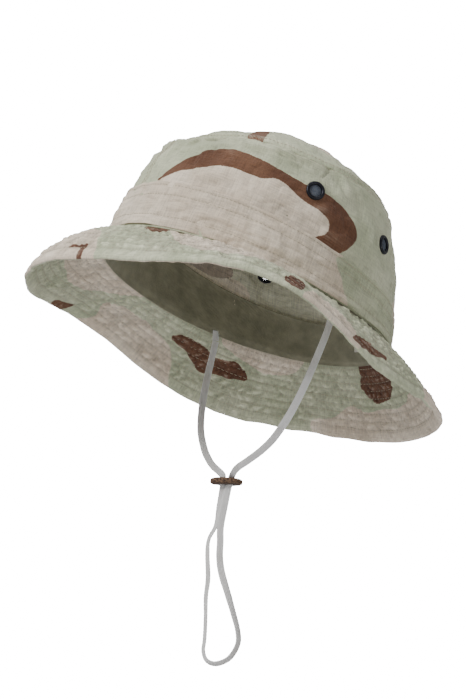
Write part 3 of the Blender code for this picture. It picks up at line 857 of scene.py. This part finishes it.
# Camera.
def make_camera():
    data = bpy.data.cameras.new("camera")
    data.sensor_width, data.lens, data.clip_start = 36.0, 177.08, 0.05
    camera = placed("camera", data)
    right, up = Vector((0.4701, 0.8826, 0.0)).normalized(), Vector((0.1027, -0.0547, 0.9932))
    back = right.cross(up).normalized()
    turned = Matrix((right, back.cross(right), back)).transposed().to_4x4()
    camera.matrix_world = Matrix.Translation((1.9211, -1.0329, -0.2889)) @ turned
    bpy.context.scene.camera = camera


# Chin strap.
def slider_axes(lean=SLIDER_LEAN, nod=0.0):
    """The slider's heading, long side, short side and up; nod lifts the side it shows to the front."""
    heading = np.array((math.cos(SLIDER_HEADING), math.sin(SLIDER_HEADING), 0))
    rise = np.array((0, 0, 1.0))
    up = heading * math.sin(lean) + rise * math.cos(lean)
    long_side = heading * math.cos(lean) - rise * math.sin(lean)
    deep = np.cross(up, long_side)
    return (heading, long_side, deep * math.cos(nod) - up * math.sin(nod),
            up * math.cos(nod) + deep * math.sin(nod))


def strap_line(step):
    """Points about `step` apart, and the turn of the tape's face at each.

    The tape goes down the left, through the slider, round the loop and up the right.
    """
    heading, long_side, deep, up = slider_axes()
    falls = {sign: np.array(STRAP_FALL) * (sign, 1, 1) for sign in (1, -1)}
    straights = {
        sign: np.array([
            SLIDER_CENTRE + sign * SLOT_OFFSET * share * long_side + deep * behind + up * h
            for h, share, behind in zip(STRAIGHTS, shares, depths)
        ])
        for sign, shares, depths in (
            (1, (1, 1, 0.66, 0.50, 0.35), (0, 0, -0.0004, -0.0004, 0)),
            (-1, (1, 1, 0.72, 0.85, 0.90), (0, 0, 0.0010, 0.0013, 0.0014)))
    }
    loop = np.array([SLIDER_CENTRE + heading * a - (0, 0, d) for a, d in LOOP])
    route = np.concatenate([falls[1], straights[1], loop, straights[-1][::-1], falls[-1][::-1]])
    twist = (*FALL_TWIST, 0, 0, 0, 0, 0, *LOOP_TWIST, *BACK_TWIST, *(-t for t in FALL_TWIST[::-1]))
    places, turns = [], []
    for i in range(len(route) - 1):
        a, b, c, d = (route[min(max(i + k, 0), len(route) - 1)] for k in (-1, 0, 1, 2))
        t = np.linspace(0, 1, max(2, round(np.linalg.norm(c - b) / step)), endpoint=False)[:, None]
        places.append(curve(a, b, c, d, t))
        turns.append(twist[i] + (twist[i + 1] - twist[i]) * soft_step(t[:, 0], 0, 1))
    places.append(route[-1:])
    turns.append(np.array([twist[-1]], float))
    return np.concatenate(places), np.radians(np.concatenate(turns))


def tape_profile():
    """The braid's section: a flat band with lengthwise ribs on both faces, across and through it."""
    across = np.linspace(-1, 1, 25)
    body = (1 - np.abs(across) ** 3.2) ** 0.5
    ribs = 1 + 0.34 * np.cos(math.pi * TAPE_RIBS * (across + 1) + math.pi)
    face = 0.5 * body * ribs
    x = np.concatenate([across, across[-2:0:-1]])
    return x * 0.5, np.concatenate([face, -face[-2:0:-1]])


def sweep_tape(name, places, widths, narrow, material, body):
    """The braid swept along its line with its broad side along `widths`."""
    tangent = unit(np.gradient(places, axis=0))
    side = unit(widths - (widths * tangent).sum(1, keepdims=True) * tangent)
    through = np.cross(tangent, side)
    run = np.concatenate([[0], np.cumsum(np.linalg.norm(np.diff(places, axis=0), axis=1))])
    x, y = tape_profile()
    bumps = 1 + 0.10 * np.sin(math.tau * run[:, None] / 0.0021 + math.tau * 0.5 * np.round(
        (x[None] + 0.5) * TAPE_RIBS))
    wide = TAPE_WIDTH * narrow[:, None] * (1 + 0.02 * np.sin(run / 0.011))[:, None] * x
    deep = TAPE_THICKNESS * y * bumps
    ring = places[:, None] + side[:, None] * wide[..., None] + through[:, None] * deep[..., None]
    rows, columns = ring.shape[:2]
    index = np.arange(rows * columns).reshape(rows, columns)
    nxt = np.roll(index, -1, axis=1)
    faces = [np.stack([index[:-1], index[1:], nxt[1:], nxt[:-1]], -1).reshape(-1, 4)]
    for end, turn in ((index[0], 1), (index[-1], -1)):
        for k in range(1, columns // 2):
            faces.append(np.array([[end[k], end[k + 1], end[-k - 1], end[-k]]])[:, ::turn])
    obj = mesh_object(name, ring.reshape(-1, 3), np.concatenate(faces), [material], body, 80)
    uv = np.stack(np.broadcast_arrays(run[:, None], x[None] * TAPE_WIDTH), -1)
    set_uv(obj, uv)
    return obj, run


def make_strap(finish):
    places, turns = strap_line(0.00045)
    heading = slider_axes()[0]
    flat_deep = np.array((-heading[1], heading[0], 0))
    beside = unit(np.cross(unit(np.gradient(places, axis=0)), flat_deep))
    widths = np.cos(turns)[:, None] * beside + np.sin(turns)[:, None] * flat_deep
    near = np.linalg.norm(places - SLIDER_CENTRE, axis=1)
    narrow = 1 - 0.14 * np.exp(-((near / 0.0045) ** 4))
    strap, run = sweep_tape("strap_braid", places, widths, narrow, finish, None)
    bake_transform(strap)
    stands_for(strap, "chin_strap")
    return strap, places, float(run[-1])


def make_slider(finish):
    """A thick leather oval, its faces smooth-grained and its cut edge rough, with a slot for each tape."""
    _, long_side, deep, up = slider_axes(SLIDER_LEAN - SLIDER_SAG, SLIDER_NOD)
    around = np.linspace(-math.pi, math.pi, 181)[None, :]
    down = np.linspace(0.0005, math.pi - 0.0005, 61)[:, None]
    c, s = np.cos(around), np.sin(around)
    reach = np.sin(down) ** 0.36
    reach[[0, -1]] = 0.0
    x = SLIDER_LENGTH / 2 * np.sign(c) * np.abs(c) ** 0.92 * reach
    y = SLIDER_WIDTH / 2 * np.sign(s) * np.abs(s) ** 0.92 * reach
    z = SLIDER_THICKNESS / 2 * np.sign(np.cos(down)) * np.abs(np.cos(down)) ** 0.50 + 0 * x
    local = np.stack(np.broadcast_arrays(x, y, z), -1)
    edge = soft_step(reach, 0.86, 1.0) + 0 * x
    rough = 0.00016 * noise(local, 0.0016, 61) + 0.00012 * noise(local, 0.0007, 62)
    local[..., :2] += unit(local[..., :2]) * (edge * rough)[..., None]
    grain = 0.00012 * noise(local, 0.0012, 63) + 0.0002 * noise(local, 0.006, 64)
    local[..., 2] += (1 - edge) * grain
    places = SLIDER_CENTRE + (
        local[..., :1] * long_side + local[..., 1:2] * deep + local[..., 2:] * up
    )
    rows, columns = places.shape[:2]
    index = np.arange(rows * columns).reshape(rows, columns)
    index[:, -1] = index[:, 0]
    quads = np.stack([index[:-1, :-1], index[1:, :-1], index[1:, 1:], index[:-1, 1:]], -1)
    slider = mesh_object("slider_leather", places.reshape(-1, 3), quads.reshape(-1, 4),
                         [finish], "slider", 40)
    set_field(slider, "cut", edge)
    slider.modifiers.new("poles", "WELD").merge_threshold = 0.00008
    points, faces = [], []
    for sign in (1, -1):
        for corner in np.ndindex(2, 2, 2):
            half = (np.array(corner) * 2 - 1) * (0.00238, 0.00105, 0.005)
            spot = SLIDER_CENTRE + long_side * (half[0] + sign * SLOT_OFFSET)
            points.append(spot + deep * half[1] + up * half[2])
        k = 8 * (sign < 0)
        faces += [[k + n for n in f] for f in (
            (0, 1, 3, 2), (4, 6, 7, 5), (0, 4, 5, 1), (2, 3, 7, 6), (0, 2, 6, 4), (1, 5, 7, 3))]
    block = bpy.data.meshes.new("slots")
    block.from_pydata([tuple(p) for p in points], [], faces)
    cutter = placed("slots", block)
    hole = slider.modifiers.new("slots", "BOOLEAN")
    hole.operation, hole.solver, hole.object = "DIFFERENCE", "EXACT", cutter
    graph = bpy.context.evaluated_depsgraph_get()
    finished = bpy.data.meshes.new_from_object(slider.evaluated_get(graph))
    slider.modifiers.clear()
    slider.data = finished
    bpy.data.objects.remove(cutter)
    return stands_for(slider, "slider")


def make_strap_ends(finish, sewing):
    """The tape's ends, turned up into the brim seam and bar-tacked."""
    for side, sign in (("left", 1), ("right", -1)):
        start = np.array(STRAP_FALL[0]) * (sign, 1, 1)
        climb = np.linspace(0.0006, 0.0072, 18)[:, None]
        places = start + climb * np.array((sign * 0.12, 0.10, 1.0))
        widths = np.tile((0.0, 1.0, 0.0), (len(places), 1))
        end, _ = sweep_tape("strap_end_" + side, places, widths, np.ones(len(places)), finish, "hat")
        stands_for(end, "strap_tab_" + side)
        turns = np.linspace(-1, 1, 9)
        zigzag = [
            [places[at] + (sign * 0.00075 * math.cos(t * 1.2), 0.0024 * t, 0.0003 * (-1) ** n)
             for n, t in enumerate(turns)]
            for at in (7, 10)
        ]
        tack = tubes("bar_tack_" + side, zigzag, 0.00022, 6, sewing, "hat")


# Crown and brim.
def turn_grid(start, stop, columns, low, high, rows):
    return np.meshgrid(np.linspace(start, stop, columns), np.linspace(low, high, rows))


def make_walls(printed, reverse):
    for side, sign in (("left", 1), ("right", -1)):
        turns, rises = turn_grid(0.0003, BACK - 0.0003, 380, 0.004, 0.995, 118)
        turns = turns[:, ::-1] * -1 if sign < 0 else turns
        top, lap = turns[-1:], 0.982
        outer, inner = (
            np.concatenate([wall_surface(turns, rises, face), tip_surface(top, lap + 0 * top, depth)])
            for face, depth in ((1, 0.2), (-1, -0.6))
        )
        turns, rises = np.concatenate([turns, top]), np.concatenate([rises, rises[-1:] + 0.012])
        centre = (outer[:-1, :-1] + outer[1:, 1:]) / 2
        keep = np.ones(centre.shape[:2], bool)
        for _, _, out, origin in EYELETS.values():
            apart = centre - origin
            radial = np.linalg.norm(apart - (apart @ out)[..., None] * out, axis=-1)
            keep &= (radial > 0.0049) | (np.abs(apart @ out) > 0.02)
        fields = printed_fields(turns, rises, WALL_SAND, WALL_BROWN, WALL_SCALE,
                                soft_step(wall_height(turns, rises), -0.0026, 0.0028))
        uv = cloth_place(turns, rises, WALL_RADIUS, WALL_LENGTH)
        wall = shell("wall_cloth_" + side, outer, inner, uv, fields, [printed, reverse], keep=keep)
        stands_for(wall, "crown_wall_" + side)
        area_of(wall_base(*turn_grid(0, BACK, 90, 0, 1, 20)))


def make_tip(printed, reverse):
    turns, shares = turn_grid(-BACK, BACK, 640, 0.0015, 0.995, 96)
    turns = turns[:, ::-1]
    outer, inner = tip_surface(turns, shares), tip_surface(turns, shares, -1)
    x, y = shares * TOP_HALF_WIDTH * np.sin(turns), -shares * TOP_HALF_LENGTH * np.cos(turns)
    fields = {
        "sand": patches(x, y, TIP_SAND, TIP_SCALE), "brown": patches(x, y, TIP_BROWN, TIP_SCALE),
        "wear_and_hollow_shade": soft_step(tip_height(turns, shares), -0.0030, 0.0034),
    }
    tip = shell("tip_cloth", outer, inner, np.stack([x, y], -1), fields, [printed, reverse])
    stands_for(tip, "crown_tip")
    area_of(tip_base(*turn_grid(-BACK, BACK, 120, 0, 1, 30)))


def make_band(printed, reverse):
    turns, rises = turn_grid(-BACK, BACK, 900, BAND_FOOT, BAND_HEAD, 44)
    outer, inner = band_surface(turns, rises), band_surface(turns, rises, -1)
    fields = printed_fields(turns, rises, BAND_SAND, BAND_BROWN, WALL_SCALE,
                            soft_step(band_height(turns, rises), -0.0014, 0.0016))
    uv = cloth_place(turns, rises, BAND_RADIUS, WALL_LENGTH, 0.3)
    band = shell("band_cloth", outer, inner, uv, fields, [printed, reverse])
    stands_for(band, "crown_band")


def make_brim(printed, reverse, stiff):
    inward = np.linspace(0, 1, 84)
    rounded = np.sin(np.linspace(0, 1, 12) * math.pi / 2)
    spaced = np.concatenate([EDGE_START * inward[:-1], EDGE_START + EDGE_SHARE * rounded])
    turns, shares = np.meshgrid(np.linspace(-BACK, BACK, 1320), spaced)
    ring = area_of(brim_base(*turn_grid(-BACK, BACK, 120, 0, 1, 20)))
    for ply, name, node, sand, brown, seed in (
        (1, "brim_cloth_top", "brim_top_ply", BRIM_SAND, BRIM_BROWN, 40),
        (-1, "brim_cloth_under", "brim_under_ply", UNDER_SAND, UNDER_BROWN, 50),
    ):
        grid_turns = turns[:, ::-1] if ply > 0 else turns
        outer, inner = (brim_surface(grid_turns, shares, ply, side) for side in (1, -1))
        # Cloth height for real wear where it is proud and painted shade where it is low; the rolled margin
        # counts as proud.
        wear_and_hollow_shade = np.minimum(1, soft_step(quilting(grid_turns, shares, seed), -0.0002, 0.0015)
                         + 0.25 * soft_step(shares, ROW_LAST, ROW_LAST + 0.05))
        fields = printed_fields(grid_turns, shares, sand, brown, BRIM_SCALE, wear_and_hollow_shade)
        uv = cloth_place(grid_turns, shares, BRIM_RADIUS, BRIM_WIDTH)
        cloth = shell(name, outer, inner, uv, fields, [printed, reverse])
        stands_for(cloth, node)
    turns, shares = turn_grid(-BACK, BACK, 400, 0.0, 0.93, 24)
    normal = normals(brim_base, turns, shares, -1)
    spine = brim_base(turns, shares) + normal * brim_wave(turns, shares)[..., None]
    uv = cloth_place(turns, shares, BRIM_RADIUS, BRIM_WIDTH)
    core = shell("brim_interlining", spine - normal * 0.0003, spine + normal * 0.0003, uv, {}, [stiff])
    stands_for(core, "brim_stiffener")


def make_sweatband(twill, label):
    turns, rises = turn_grid(-BACK, BACK, 620, SWEATBAND_FOOT, SWEATBAND_HEAD, 36)
    normal = normals(wall_base, turns, rises, 1)
    p = wall_base(turns, rises)
    tucked = 0.0012 * soft_step(-rises, 0.0, 0.05)
    slack = tucked + 0.0006 * noise(p, 0.030, 71) + 0.00025 * noise(p, 0.009, 72)
    edge = 0.0004 * bell((SWEATBAND_HEAD - rises) * WALL_LENGTH, 0.0012)
    pulls = 0.0002 * ring_noise(turns, rises * 9, 150, 73)
    near = -WALL_HALF - 0.0006
    outer = p + normal * (near + np.minimum(slack, 0.0003))[..., None]
    inner = p + normal * (near - 0.0011 + slack - edge + pulls)[..., None]
    uv = cloth_place(turns, rises, WALL_RADIUS, WALL_LENGTH)
    band = shell("sweatband_cloth", outer, inner, uv, {}, [twill])
    stands_for(band, "sweatband")
    turns, rises = turn_grid(BACK - 0.19, BACK + 0.19, 60, 0.095, 0.245, 24)
    p = wall_base(turns, rises)
    normal = normals(wall_base, turns, rises, 1)
    lift = near - 0.0017 + 0.0006 * noise(p, 0.030, 71) + 0.00012 * noise(p, 0.005, 75)
    tag = shell("label_cloth", p + normal * lift[..., None], p + normal * (lift - 0.00035)[..., None],
                cloth_place(turns, rises, WALL_RADIUS, WALL_LENGTH), {}, [label])
    stands_for(tag, "size_label")


def make_seam_tape(twill):
    """The narrow bias tape that covers the top seam inside the crown."""
    turns, rises = turn_grid(-BACK, BACK, 500, 0.925, 0.988, 12)
    normal = normals(wall_base, turns, rises, 1)
    p = wall_base(turns, rises) + normal * (wall_height(turns, rises) - WALL_HALF)[..., None]
    puff = 0.0004 + 0.0007 * np.sin(math.pi * (rises - 0.925) / 0.063)
    puff = puff + 0.0002 * ring_noise(turns, 0.0, 140, 77)
    uv = cloth_place(turns, rises, TAPE_RADIUS, WALL_LENGTH)
    tape = shell("seam_tape", p - normal * 0.0002, p - normal * puff[..., None], uv, {}, [twill])


def sew(name, rows, surface, base, facing, radius, material):
    lines = np.concatenate([stitch_lines(surface, facing, base, *row) for row in rows])
    piece = tubes(name, lines, radius, 5, material, "hat", (0.7, 1.0, 1.0, 1.0, 0.7))
    return piece


def make_stitching(sewing):
    row_shares = [ROW_FIRST + ROW_STEP * k for k in range(ROWS)]
    for ply, name, facing in ((1, "stitches_brim_top", -1), (-1, "stitches_brim_under", 1)):
        rows = [stitched_row(share, 0.0031, 0.57 + 0.34 * share) for share in row_shares]
        sew(name, rows, lambda u, v, ply=ply: brim_surface(u, v, ply), brim_base, facing,
            0.00018, sewing)
    rows = [stitched_row(share, 0.0027, HEAD_ROUND) for share in BAND_ROWS]
    sew("stitches_band", rows, band_surface, wall_base, 1, 0.00018, sewing)
    rows = [stitched_row(1 - 0.0022 / WALL_LENGTH, 0.0027, TOP_ROUND)]
    sew("stitches_top_wall", rows, wall_surface, wall_base, 1, 0.00018, sewing)
    rows = [stitched_row(1 - 0.0024 / TIP_REACH, 0.0027, TOP_ROUND)]
    sew("stitches_top_tip", rows, tip_surface, tip_base, -1, 0.00018, sewing)
    steps = np.linspace(0.30, 0.96, 26)
    beside = 0.020
    rows = [(np.full_like(steps, turn), steps) for turn in (beside, -beside, BACK - beside, beside - BACK)]
    sew("stitches_wall_seams", rows, wall_surface, wall_base, 1, 0.00018, sewing)


# Vents.
def turned(name, profile, axes, sides, material):
    """A ring turned about an eyelet's axis from a closed section of (radius, height)."""
    across, up, out, origin = axes
    angle = np.arange(sides) / sides * math.tau
    section = np.array(profile)
    radius, height = section[:, 0], section[:, 1]
    ring = origin + height[None, :, None] * out + radius[None, :, None] * (
        np.cos(angle)[:, None, None] * across + np.sin(angle)[:, None, None] * up)
    index = np.arange(sides * len(section)).reshape(sides, -1)
    here, there = index, np.roll(index, -1, axis=0)
    faces = np.stack([here, there, np.roll(there, -1, 1), np.roll(here, -1, 1)], -1)
    return mesh_object(name, worn(ring.reshape(-1, 3)), faces.reshape(-1, 4), [material], "hat", 50)


def arc(centre, radius, start, stop, steps):
    angles = np.radians(np.linspace(start, stop, steps))
    return [(centre[0] + radius[0] * math.cos(a), centre[1] + radius[1] * math.sin(a))
            for a in angles]


def make_vents(black, wire):
    face = WALL_HALF + 0.00005
    flange = (
        [(0.0040, -0.0019), (0.0046, -0.0019), (0.0046, face)]
        + arc((0.0051, face + 0.0001), (0.0011, 0.0012), -20, 172, 18)
        + [(0.0040, face - 0.0001)]
    )
    washer = [(0.0047, -0.0015), (0.0050, -0.0017), (0.0060, -0.0016), (0.0063, -0.0011),
              (0.0062, -0.0007), (0.0047, -0.0007)]
    pitch, reach = 0.00056, 0.00405
    offsets = (np.arange(-7, 8)) * pitch
    for (side, place), axes in EYELETS.items():
        across, up, out, origin = axes
        ending = side + "_" + place
        ring = turned("vent_ring_" + ending, flange, axes, 56, black)
        stands_for(ring, "eyelet_" + ending)
        back = turned("vent_washer_" + ending, washer, axes, 48, black)
        stands_for(back, "eyelet_washer_" + ending)
        lines = []
        for n, offset in enumerate(offsets):
            half = math.sqrt(max(reach**2 - offset**2, 1e-8))
            t = np.linspace(-half, half, 33)
            dome = 0.0010 * (1 - (t**2 + offset**2) / reach**2) + 0.0002
            over = 0.00013 * np.sin(math.pi * (t / pitch + n))
            for a, b, sign in ((across, up, 1), (up, across, -1)):
                height = dome + sign * over
                lines.append(origin + t[:, None] * a + offset * b + height[:, None] * out)
        screen = tubes("vent_screen_" + ending, worn(np.array(lines)), 0.00023, 5, wire, "hat")
        stands_for(screen, "eyelet_screen_" + ending)


# Room and light.
FLOOR_HALF, FLOOR_Z = 6, -0.5


def make_room():
    floor_mesh = bpy.data.meshes.new("floor")
    corners = [(x * FLOOR_HALF, y * FLOOR_HALF, FLOOR_Z) for x, y in ((-1, -1), (1, -1), (1, 1), (-1, 1))]
    floor_mesh.from_pydata(corners, [], [(0, 1, 2, 3)])
    floor = placed("floor", floor_mesh)
    paint = Shader("floor_paint", Base_Color=(0.78, 0.78, 0.79, 1.0), Roughness=0.9)
    floor_mesh.materials.append(paint.material)
    dome_mesh = bpy.data.meshes.new("surround")
    maker = bmesh.new()
    bmesh.ops.create_icosphere(maker, subdivisions=3, radius=9.0)
    maker.to_mesh(dome_mesh)
    maker.free()
    dome = placed("surround", dome_mesh)
    dome_mesh.materials.append(Shader(
        "surround_white", Base_Color=(0, 0, 0, 1), Emission_Color=(1, 1, 1, 1),
        Emission_Strength=18.0, Specular_IOR_Level=0.0).material)
    dome.visible_diffuse = dome.visible_glossy = dome.visible_transmission = False
    dome.visible_shadow = dome.visible_volume_scatter = False
    world = bpy.data.worlds.new("studio")
    world.use_nodes = True
    sky = world.node_tree.nodes["Background"]
    sky.inputs["Color"].default_value = (1.0, 1.0, 1.0, 1.0)
    sky.inputs["Strength"].default_value = 0.40
    bpy.context.scene.world = world
    for name, place, size, power in (
        ("key", (0.30, -1.45, 1.10), 0.7, 35.0),
        ("top", (0.1, 0.1, 1.5), 0.8, 8.0),
        ("side", (1.6, 0.8, -0.15), 0.8, 6.0),
    ):
        data = bpy.data.lights.new(name, "AREA")
        data.shape, data.size, data.energy = "DISK", size, power
        light = placed(name, data)
        light.location = place
        light.rotation_euler = (-Vector(place)).to_track_quat("-Z", "Y").to_euler()


def main():
    make_camera()
    tape = braid("strap_braid")
    strap, line, length = make_strap(tape)
    slider = make_slider(leather("slider_leather"))
    sewing = thread("sewing_thread", colour(176, 166, 142))
    make_strap_ends(tape, sewing)
    printed, reverse = printed_cloth("printed_cotton"), printed_cloth("printed_cotton_reverse", 0.45)
    quilted = printed_cloth("printed_cotton_quilted", hollow_shade_strength=0.45, wear=0.20, puckered=True)
    twill = plain_cloth("olive_twill", colour(128, 126, 106), colour(146, 143, 122), 0.0011, True)
    stiff = plain_cloth("interlining", colour(205, 202, 190), colour(214, 211, 200), 0.0006)
    make_brim(quilted, reverse, stiff)
    make_walls(printed, reverse)
    make_tip(printed, reverse)
    make_band(printed, reverse)
    make_sweatband(twill, label_cloth("label_weave"))
    make_seam_tape(twill)
    make_stitching(sewing)
    make_vents(metal("black_lacquer", colour(34, 35, 42), colour(96, 94, 92), 0.38),
               metal("screen_wire", colour(98, 105, 117), colour(66, 72, 82), 0.5))
    make_room()


main()
